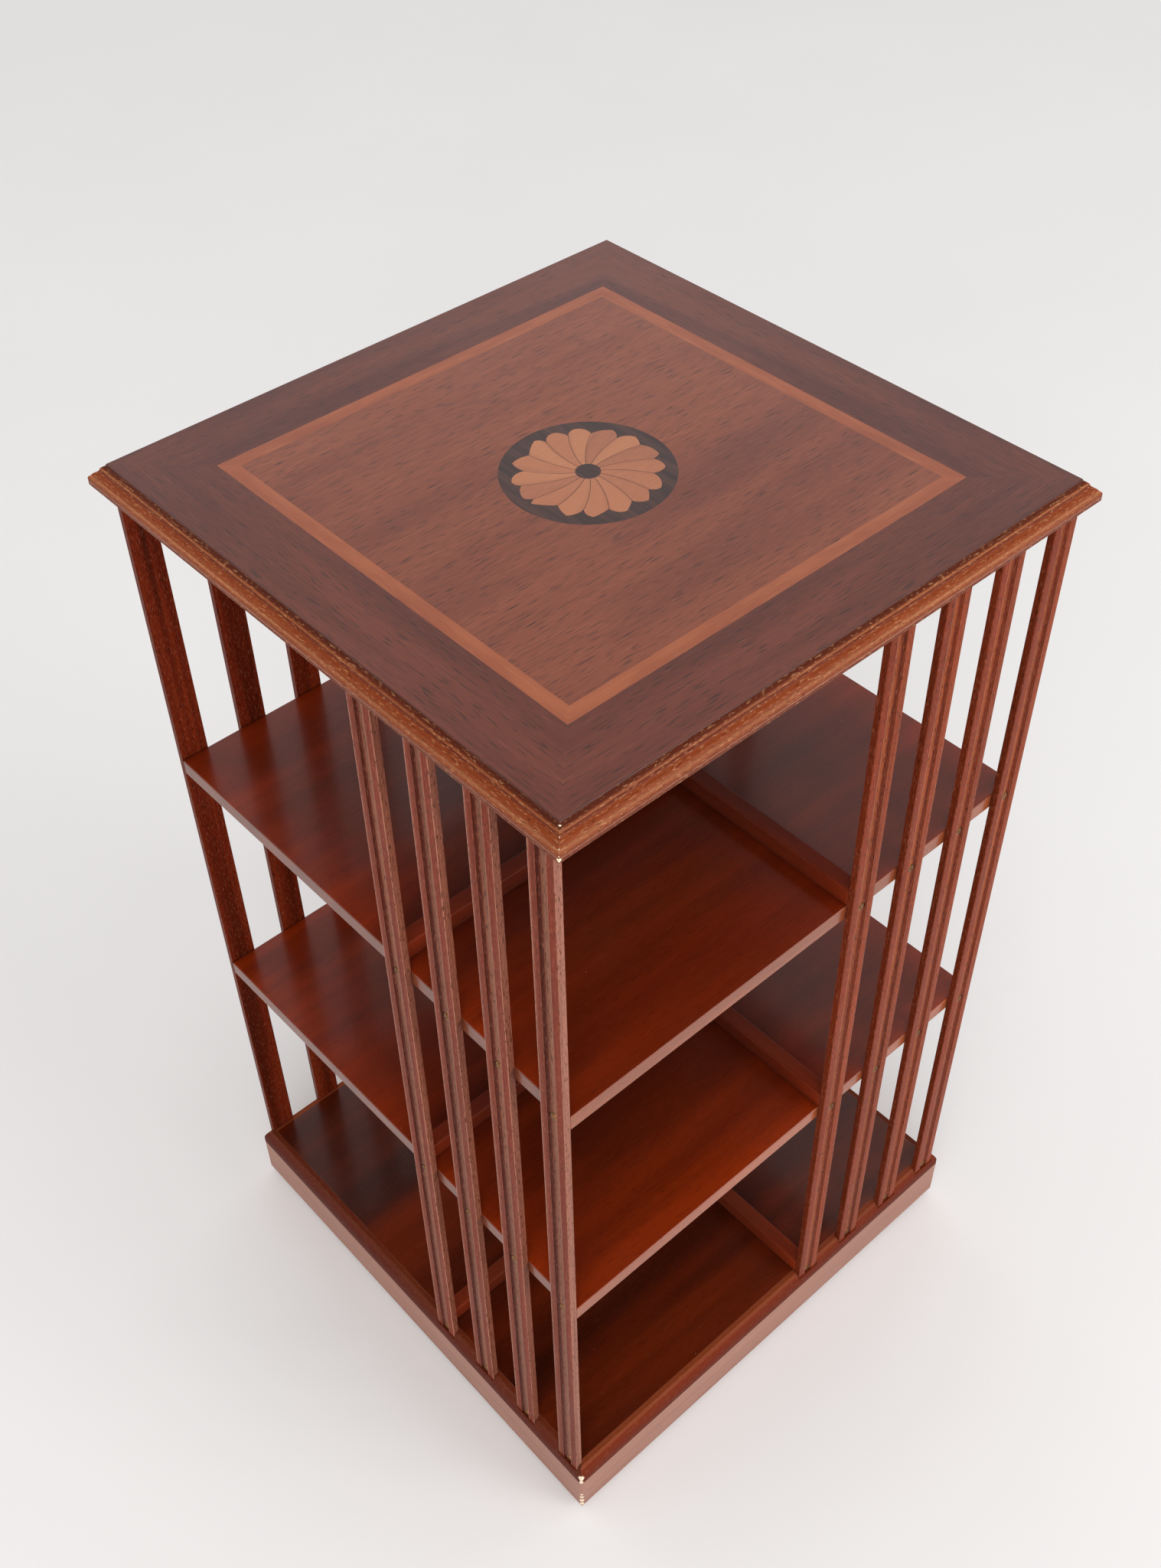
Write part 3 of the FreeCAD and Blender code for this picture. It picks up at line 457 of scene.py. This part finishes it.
# Petals: pale satinwood, each a tone of its own and shaded a little with hot sand beside one edge. As on the
# piece itself, a petal's edges lag behind their radius, by rootLag petals at the root and none at the notch.
petalLook = {
    "count": 16, "rootLag": 0.55, "rootMm": 8.7, "notchMm": 45.2, "drift": -0.05,
    "dark": "#9b5a3c", "middle": "#ad6844", "light": "#ba774f", "toneStops": (0.22, 0.45, 0.80),
    "shade": "#8a4c33", "shadeWidthShare": 0.30, "shadeDepth": 0.35,
    "grainLengthMm": 9.0, "grainWidthMm": 0.9, "grainDegrees": 42.0, "grainShare": 0.55,
    "bumpStrength": 0.3, "bumpMm": 0.03, "roughness": 0.34, "ior": 1.5, "coat": 0.25, "coatRoughness": 0.12,
}


def petalFinish(look):
    material, tree = newMaterial("satinwoodPetal")
    place = addNode(tree, "ShaderNodeTexCoord").outputs["Object"]
    axes = addNode(tree, "ShaderNodeSeparateXYZ", {"Vector": place}).outputs
    angle = addNode(tree, "ShaderNodeMath", {0: axes[0], 1: axes[1]}, operation="ARCTAN2").outputs[0]
    flatPlace = addNode(tree, "ShaderNodeVectorMath", {0: place, 1: (1.0, 1.0, 0.0)}, operation="MULTIPLY")
    radius = addNode(tree, "ShaderNodeVectorMath", {0: flatPlace.outputs[0]}, operation="LENGTH")
    lag = addNode(tree, "ShaderNodeMapRange", {
        0: radius.outputs["Value"], 1: look["rootMm"] * mm, 2: look["notchMm"] * mm,
        3: look["rootLag"], 4: 0.0,
    }).outputs[0]
    turn = addNode(tree, "ShaderNodeMath", {0: angle, 1: look["count"] / (2 * math.pi), 2: lag},
                   operation="MULTIPLY_ADD").outputs[0]
    petalTurn = addNode(tree, "ShaderNodeMath", {0: turn, 1: look["count"] + look["drift"]},
                        operation="ADD").outputs[0]
    number = addNode(tree, "ShaderNodeMath", {0: petalTurn}, operation="FLOOR").outputs[0]
    share = addNode(tree, "ShaderNodeMath", {0: petalTurn}, operation="FRACT").outputs[0]
    ownTone = addNode(tree, "ShaderNodeTexWhiteNoise", {"W": number}, noise_dimensions="1D").outputs["Value"]
    stretched = addNode(tree, "ShaderNodeMapping", {
        "Vector": place, "Rotation": (0.0, 0.0, math.radians(look["grainDegrees"])),
        "Scale": (1 / (look["grainLengthMm"] * mm), 1 / (look["grainWidthMm"] * mm), 1.0),
    })
    grain = addNode(tree, "ShaderNodeTexNoise", {
        "Vector": stretched.outputs[0], "Scale": 1.0, "Detail": 2.0,
    }).outputs[0]
    tone = addNode(tree, "ShaderNodeMix", {0: look["grainShare"], 2: ownTone, 3: grain}).outputs[0]
    tones = (look["dark"], look["middle"], look["light"])
    colour = addNode(tree, "ShaderNodeValToRGB", {"Fac": tone},
                     stops=list(zip(look["toneStops"], tones))).outputs[0]
    shade = addNode(tree, "ShaderNodeMapRange", {
        0: share, 1: look["shadeWidthShare"], 2: 0.0, 3: 0.0, 4: look["shadeDepth"],
    }).outputs[0]
    colour = addNode(tree, "ShaderNodeMix", {0: shade, 6: colour, 7: linear(look["shade"])},
                     data_type="RGBA").outputs[2]
    bump = addNode(tree, "ShaderNodeBump", {
        "Height": grain, "Strength": look["bumpStrength"], "Distance": look["bumpMm"] * mm,
    })
    shader = addNode(tree, "ShaderNodeBsdfPrincipled", {
        "Base Color": colour, "Roughness": look["roughness"], "Normal": bump.outputs[0], "IOR": look["ior"],
        "Coat Weight": look["coat"], "Coat Roughness": look["coatRoughness"],
    })
    addNode(tree, "ShaderNodeOutputMaterial", {"Surface": shader.outputs[0]})
    return material


dress(["patera_petals"], petalFinish(petalLook))
print("patera dressed")


# Hidden wood: the core, the swivel block and the corner blocks are bare, and the foot board is stained dark.
bareLook = dict(
    fieldLook, dark="#8a6644", middle="#a98259", light="#bd986c", poreAndShade="#6b4c31", fleck="#cdae86",
    roughness=0.6, coat=0.0, rubbedAndHighlitDepth=0.0)
footLook = dict(
    boardLook, dark="#22100a", middle="#331a10", light="#402317", fleck="#5b3828", rubbedAndHighlit="#7d5a46",
    roughness=0.42, coat=0.1)
dress(["top_core", "swivel_block", "plinth_corner_blocks"], woodFinish("bareHardwood", bareLook))
dress(["foot_board"], woodFinish("stainedHardwood", footLook))


# Metals, all a little clouded. The plates and steel screws are zinc plated and dull, the balls are polished
# bearing steel, and the slat screws are brass gone brown with age.
zincLook = {"dark": "#8b8b88", "light": "#b4b4b0", "mottleMm": 3.0, "roughness": 0.38}
ballLook = {"dark": "#b5b5b7", "light": "#cfcfd2", "mottleMm": 2.0, "roughness": 0.14}
brassLook = {"dark": "#462a12", "light": "#a07042", "mottleMm": 1.2, "roughness": 0.3}
metalPattern = {"mottleSpan": (0.30, 0.70), "dullest": 0.08, "glossiest": -0.06, "bumpStrength": 0.25,
                "bumpMm": 0.04}


def metalFinish(name, look, pattern=metalPattern):
    material, tree = newMaterial(name)
    place = addNode(tree, "ShaderNodeTexCoord").outputs["Object"]
    mottle = addNode(tree, "ShaderNodeTexNoise", {
        "Vector": place, "Scale": 1 / (look["mottleMm"] * mm), "Detail": 4.0,
    }).outputs[0]
    low, high = pattern["mottleSpan"]
    colour = addNode(tree, "ShaderNodeValToRGB", {"Fac": mottle}, stops=[
        (low, look["dark"]), (high, look["light"]),
    ]).outputs[0]
    roughness = addNode(tree, "ShaderNodeMapRange", {
        0: mottle, 1: low, 2: high,
        3: look["roughness"] + pattern["dullest"], 4: look["roughness"] + pattern["glossiest"],
    }).outputs[0]
    bump = addNode(tree, "ShaderNodeBump", {
        "Height": mottle, "Strength": pattern["bumpStrength"], "Distance": pattern["bumpMm"] * mm,
    })
    shader = addNode(tree, "ShaderNodeBsdfPrincipled", {
        "Base Color": colour, "Roughness": roughness, "Metallic": 1.0, "Normal": bump.outputs[0],
    })
    addNode(tree, "ShaderNodeOutputMaterial", {"Surface": shader.outputs[0]})
    return material


zincPlate = metalFinish("zincPlatedSteel", zincLook)
dress(["swivel_upper_plate", "swivel_lower_plate"], zincPlate)
dress(["board_screws", "swivel_upper_screws", "swivel_lower_screws"], zincPlate)
dress(["swivel_balls"], metalFinish("polishedBearingSteel", ballLook))
tarnishedBrass = metalFinish("tarnishedBrass", brassLook)


# Glides: moulded polyethylene, dark brown, faintly grained and scuffed.
glideLook = {"plain": "#1d1714", "scuffed": "#3a2f29", "grainMm": 0.8, "bumpStrength": 0.3, "bumpMm": 0.05,
             "roughness": 0.55, "ior": 1.5}


def plasticFinish(name, look):
    material, tree = newMaterial(name)
    place = addNode(tree, "ShaderNodeTexCoord").outputs["Object"]
    texture = addNode(tree, "ShaderNodeTexNoise", {
        "Vector": place, "Scale": 1 / (look["grainMm"] * mm), "Detail": 2.0,
    }).outputs[0]
    colour = addNode(tree, "ShaderNodeMix", {
        0: texture, 6: linear(look["plain"]), 7: linear(look["scuffed"]),
    }, data_type="RGBA").outputs[2]
    bump = addNode(tree, "ShaderNodeBump", {
        "Height": texture, "Strength": look["bumpStrength"], "Distance": look["bumpMm"] * mm,
    })
    shader = addNode(tree, "ShaderNodeBsdfPrincipled", {
        "Base Color": colour, "Roughness": look["roughness"], "Normal": bump.outputs[0], "IOR": look["ior"],
    })
    addNode(tree, "ShaderNodeOutputMaterial", {"Surface": shader.outputs[0]})
    return material


dress(["glides"], plasticFinish("mouldedPolyethylene", glideLook))
print("metal and glides dressed")


# Slat screws: brass raised countersunk heads with a cross recess, turned home in the flute.
screw = {"headMm": 3.7, "headSides": 32, "domeMm": 1.1, "domeSteps": 4, "coneMm": 2.0, "shankMm": 1.6,
         "lengthMm": 14.7, "tipMm": 3.0, "tipShare": 0.12, "slotLongMm": 3.6, "slotWideMm": 0.75,
         "slotDeepMm": 1.1, "slotFootShare": 0.55, "softMm": 0.12, "softDegrees": 35.0,
         "smoothDegrees": 32.0, "fluteMm": 1.8}
facing = 0.9  # a face whose normal rises this much, or falls, is a top or a bottom


def selectOnly(obj):
    bpy.ops.object.select_all(action="DESELECT")
    obj.select_set(True)
    bpy.context.view_layer.objects.active = obj


def applyModifiers(obj):
    selectOnly(obj)
    for modifier in list(obj.modifiers):
        bpy.ops.object.modifier_apply(modifier=modifier.name)


def pickFaces(obj, test):
    # in edit mode, selects the faces that pass the test
    bpy.ops.mesh.select_all(action="DESELECT")
    bpy.ops.object.mode_set(mode="OBJECT")
    for face in obj.data.polygons:
        face.select = test(face)
    bpy.ops.object.mode_set(mode="EDIT")


def makeScrew(look):
    # stands on its tip with its head up, and the head's rim is at height 0
    bpy.ops.object.select_all(action="DESELECT")
    headRadius = look["headMm"] * mm
    cone = look["coneMm"] * mm
    tip = look["tipMm"] * mm
    bpy.ops.mesh.primitive_cylinder_add(vertices=look["headSides"], radius=headRadius, depth=cone,
                                        end_fill_type="NGON", location=(0, 0, -cone / 2))
    body = bpy.context.active_object
    bpy.ops.object.transform_apply(location=True)
    bpy.ops.object.mode_set(mode="EDIT")
    bpy.ops.mesh.select_mode(type="FACE")
    # the cone under the rim, then the shank and its tip
    pickFaces(body, lambda face: face.normal.z < -facing)
    narrow = look["shankMm"] * mm / headRadius
    bpy.ops.transform.resize(value=(narrow, narrow, 1.0))
    shankLength = look["lengthMm"] * mm - cone - tip
    bpy.ops.mesh.extrude_region_move(TRANSFORM_OT_translate={"value": (0, 0, -shankLength)})
    bpy.ops.mesh.extrude_region_move(TRANSFORM_OT_translate={"value": (0, 0, -tip)})
    bpy.ops.transform.resize(value=(look["tipShare"], look["tipShare"], 1.0))
    # the dome: rings that close in as they rise to a flat crown
    pickFaces(body, lambda face: face.normal.z > facing)
    dome = look["domeMm"] * mm
    wide, high = 1.0, 0.0
    for step in range(1, look["domeSteps"]):
        angle = math.radians(90 * step / look["domeSteps"])
        rise = (math.sin(angle) - high) * dome
        closer = math.cos(angle) / wide
        bpy.ops.mesh.extrude_region_move(TRANSFORM_OT_translate={"value": (0, 0, rise)})
        bpy.ops.transform.resize(value=(closer, closer, 1.0))
        wide, high = math.cos(angle), math.sin(angle)
    bpy.ops.object.mode_set(mode="OBJECT")
    bpy.ops.object.select_all(action="DESELECT")
    # the cross recess, narrower at its foot
    cutters = []
    for turn in (0, 90):
        bpy.ops.mesh.primitive_cube_add(size=1.0, location=(0, 0, dome))
        cutter = bpy.context.active_object
        cutter.scale = (look["slotLongMm"] * mm, look["slotWideMm"] * mm, 2 * look["slotDeepMm"] * mm)
        cutter.rotation_euler = (0, 0, math.radians(turn))
        bpy.ops.object.transform_apply(location=True, rotation=True, scale=True)
        bpy.ops.object.mode_set(mode="EDIT")
        pickFaces(cutter, lambda face: face.normal.z < -facing)
        bpy.ops.transform.resize(value=(look["slotFootShare"], look["slotFootShare"], 1.0))
        bpy.ops.object.mode_set(mode="OBJECT")
        cutters.append(cutter)
    for cutter in cutters:
        cut = body.modifiers.new("crossRecess", "BOOLEAN")
        cut.object = cutter
        cut.operation = "DIFFERENCE"
        cut.solver = "EXACT"
    soften = body.modifiers.new("softEdges", "BEVEL")
    soften.width = look["softMm"] * mm
    soften.segments = 2
    soften.limit_method = "ANGLE"
    soften.angle_limit = math.radians(look["softDegrees"])
    applyModifiers(body)
    for cutter in cutters:
        bpy.data.objects.remove(cutter)
    selectOnly(body)
    bpy.ops.object.shade_smooth_by_angle(angle=math.radians(look["smoothDegrees"]))
    return body


def screwPlaces(look):
    # one in the middle of each slat at its foot, at both shelves and at the head board
    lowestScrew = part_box("slat_screws")[0]
    heights = [lowestScrew[2] + look["headMm"] * mm]
    for board in ("shelf_lower", "shelf_upper", "head_board"):
        low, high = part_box(board)
        heights.append((low[2] + high[2]) / 2)
    places = []
    for degrees in sides.values():
        turn = Matrix.Rotation(math.radians(degrees), 4, "Z")
        for number in range(1, slatsPerSide + 1):
            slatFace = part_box("slat_front_" + str(number))[0][1]
            rim = slatFace + look["fluteMm"] * mm  # at the bottom of the flute
            for height in heights:
                places.append(turn @ Matrix.Translation((slatMiddle(number), rim, height)))
    return places


def makeSlatScrews(look):
    master = makeScrew(look)
    faceOut = Matrix.Rotation(math.radians(90), 4, "X")  # the head's +Z to the front's -Y
    copies = []
    for place in screwPlaces(look):
        copy = master.copy()
        copy.data = master.data.copy()
        spin = Matrix.Rotation(random.uniform(0, math.pi / 2), 4, "Z")
        copy.data.transform(place @ faceOut @ spin)
        bpy.context.collection.objects.link(copy)
        copies.append(copy)
    bpy.data.objects.remove(master)
    selectOnly(copies[0])
    for copy in copies:
        copy.select_set(True)
    bpy.ops.object.join()
    screws = bpy.context.active_object
    screws.name = "slatScrewHeads"
    screws.data.name = "slatScrewHeads"
    screws.data.materials.append(tarnishedBrass)
    return screws


slatScrews = makeSlatScrews(screw)
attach(slatScrews, "case")
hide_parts("slat_screws")
print("slat screws made")


# Studio: one pale floor, an even sky and two large soft lamps. The sky that the camera and the gloss see runs
# from the wall's tone, low down, to the ceiling's overhead.

studio = {"floorSize": 40.0, "floor": "#f3f1f0", "floorMottle": "#efedec", "mottlesPerMetre": 3.0,
          "floorRoughness": 0.9, "floorGloss": 0.1, "wall": "#eeeef0", "wallShare": 0.45,
          "ceiling": "#bcb4b0", "ceilingShare": 0.95, "skyStrength": 0.74, "aimPlace": (0, 0, 0.45)}
lamps = {"keyLamp": {"power": 140.0, "size": 4.0, "place": (-3.7, -3.3, 3.6)},
         "fillLamp": {"power": 100.0, "size": 3.0, "place": (2.2, -4.8, 2.8)}}


def makeFloor(look):
    bpy.ops.object.select_all(action="DESELECT")
    bpy.ops.mesh.primitive_plane_add(size=look["floorSize"], location=(0, 0, 0))
    floor = bpy.context.active_object
    floor.name = "studioFloor"
    material, tree = newMaterial("paleFloor")
    place = addNode(tree, "ShaderNodeTexCoord").outputs["Object"]
    mottle = addNode(tree, "ShaderNodeTexNoise", {
        "Vector": place, "Scale": look["mottlesPerMetre"], "Detail": 3.0,
    }).outputs[0]
    colour = addNode(tree, "ShaderNodeMix", {
        0: mottle, 6: linear(look["floor"]), 7: linear(look["floorMottle"]),
    }, data_type="RGBA").outputs[2]
    shader = addNode(tree, "ShaderNodeBsdfPrincipled", {
        "Base Color": colour, "Roughness": look["floorRoughness"], "Specular IOR Level": look["floorGloss"],
    })
    addNode(tree, "ShaderNodeOutputMaterial", {"Surface": shader.outputs[0]})
    floor.data.materials.append(material)


def makeSky(look):
    world = bpy.data.worlds.new("evenSky")
    world.use_nodes = True
    tree = world.node_tree
    tree.nodes.clear()
    rays = addNode(tree, "ShaderNodeLightPath").outputs
    seen = addNode(tree, "ShaderNodeMath", {0: rays["Is Camera Ray"], 1: rays["Is Transmission Ray"]},
                   operation="MAXIMUM").outputs[0]
    shown = addNode(tree, "ShaderNodeMath", {0: seen, 1: rays["Is Glossy Ray"]},
                    operation="MAXIMUM").outputs[0]
    lit = addNode(tree, "ShaderNodeBackground", {"Color": linear("#ffffff"), "Strength": look["skyStrength"]})
    direction = addNode(tree, "ShaderNodeTexCoord").outputs["Generated"]
    upward = addNode(tree, "ShaderNodeSeparateXYZ", {"Vector": direction}).outputs[2]
    backdrop = addNode(tree, "ShaderNodeValToRGB", {"Fac": upward}, stops=[
        (look["wallShare"], look["wall"]), (look["ceilingShare"], look["ceiling"]),
    ]).outputs[0]
    pale = addNode(tree, "ShaderNodeBackground", {"Color": backdrop, "Strength": 1.0})
    mix = addNode(tree, "ShaderNodeMixShader", {0: shown, 1: lit.outputs[0], 2: pale.outputs[0]})
    addNode(tree, "ShaderNodeOutputWorld", {"Surface": mix.outputs[0]})
    bpy.context.scene.world = world


def makeLamp(name, look, aimPlace):
    lampData = bpy.data.lights.new(name, "AREA")
    lampData.shape = "DISK"
    lampData.size = look["size"]
    lampData.energy = look["power"]
    lamp = bpy.data.objects.new(name, lampData)
    lamp.location = look["place"]
    aim = Vector(aimPlace) - Vector(look["place"])
    lamp.rotation_euler = aim.to_track_quat("-Z", "Y").to_euler()
    bpy.context.collection.objects.link(lamp)


makeFloor(studio)
makeSky(studio)
for lampName, lampLook in lamps.items():
    makeLamp(lampName, lampLook, studio["aimPlace"])
bpy.context.scene.view_settings.view_transform = "Standard"
print("studio lit")


# Camera, fitted to the photograph's frame of 1517 x 2048

view = {"place": (-0.6383, -0.7111, 1.5010), "headingDegrees": 48.65, "tiltDegrees": -44.47,
        "rollDegrees": -1.20, "focalPixels": 2231.5, "frameHeightPixels": 2048, "sensorMm": 36.0,
        "nearest": 0.01, "farthest": 100.0}


def makeCamera(look):
    cameraData = bpy.data.cameras.new("photoCamera")
    cameraData.sensor_fit = "VERTICAL"
    cameraData.sensor_height = look["sensorMm"]
    cameraData.lens = look["focalPixels"] / look["frameHeightPixels"] * look["sensorMm"]
    cameraData.clip_start = look["nearest"]
    cameraData.clip_end = look["farthest"]
    camera = bpy.data.objects.new("photoCamera", cameraData)
    place = Vector(look["place"])
    heading = math.radians(look["headingDegrees"])
    tilt = math.radians(look["tiltDegrees"])
    aim = Vector((math.cos(tilt) * math.cos(heading), math.cos(tilt) * math.sin(heading), math.sin(tilt)))
    turned = aim.to_track_quat("-Z", "Y").to_matrix().to_4x4()
    roll = Matrix.Rotation(math.radians(look["rollDegrees"]), 4, "Z")
    camera.matrix_world = Matrix.Translation(place) @ turned @ roll
    bpy.context.collection.objects.link(camera)
    bpy.context.scene.camera = camera


makeCamera(view)
print("camera set")
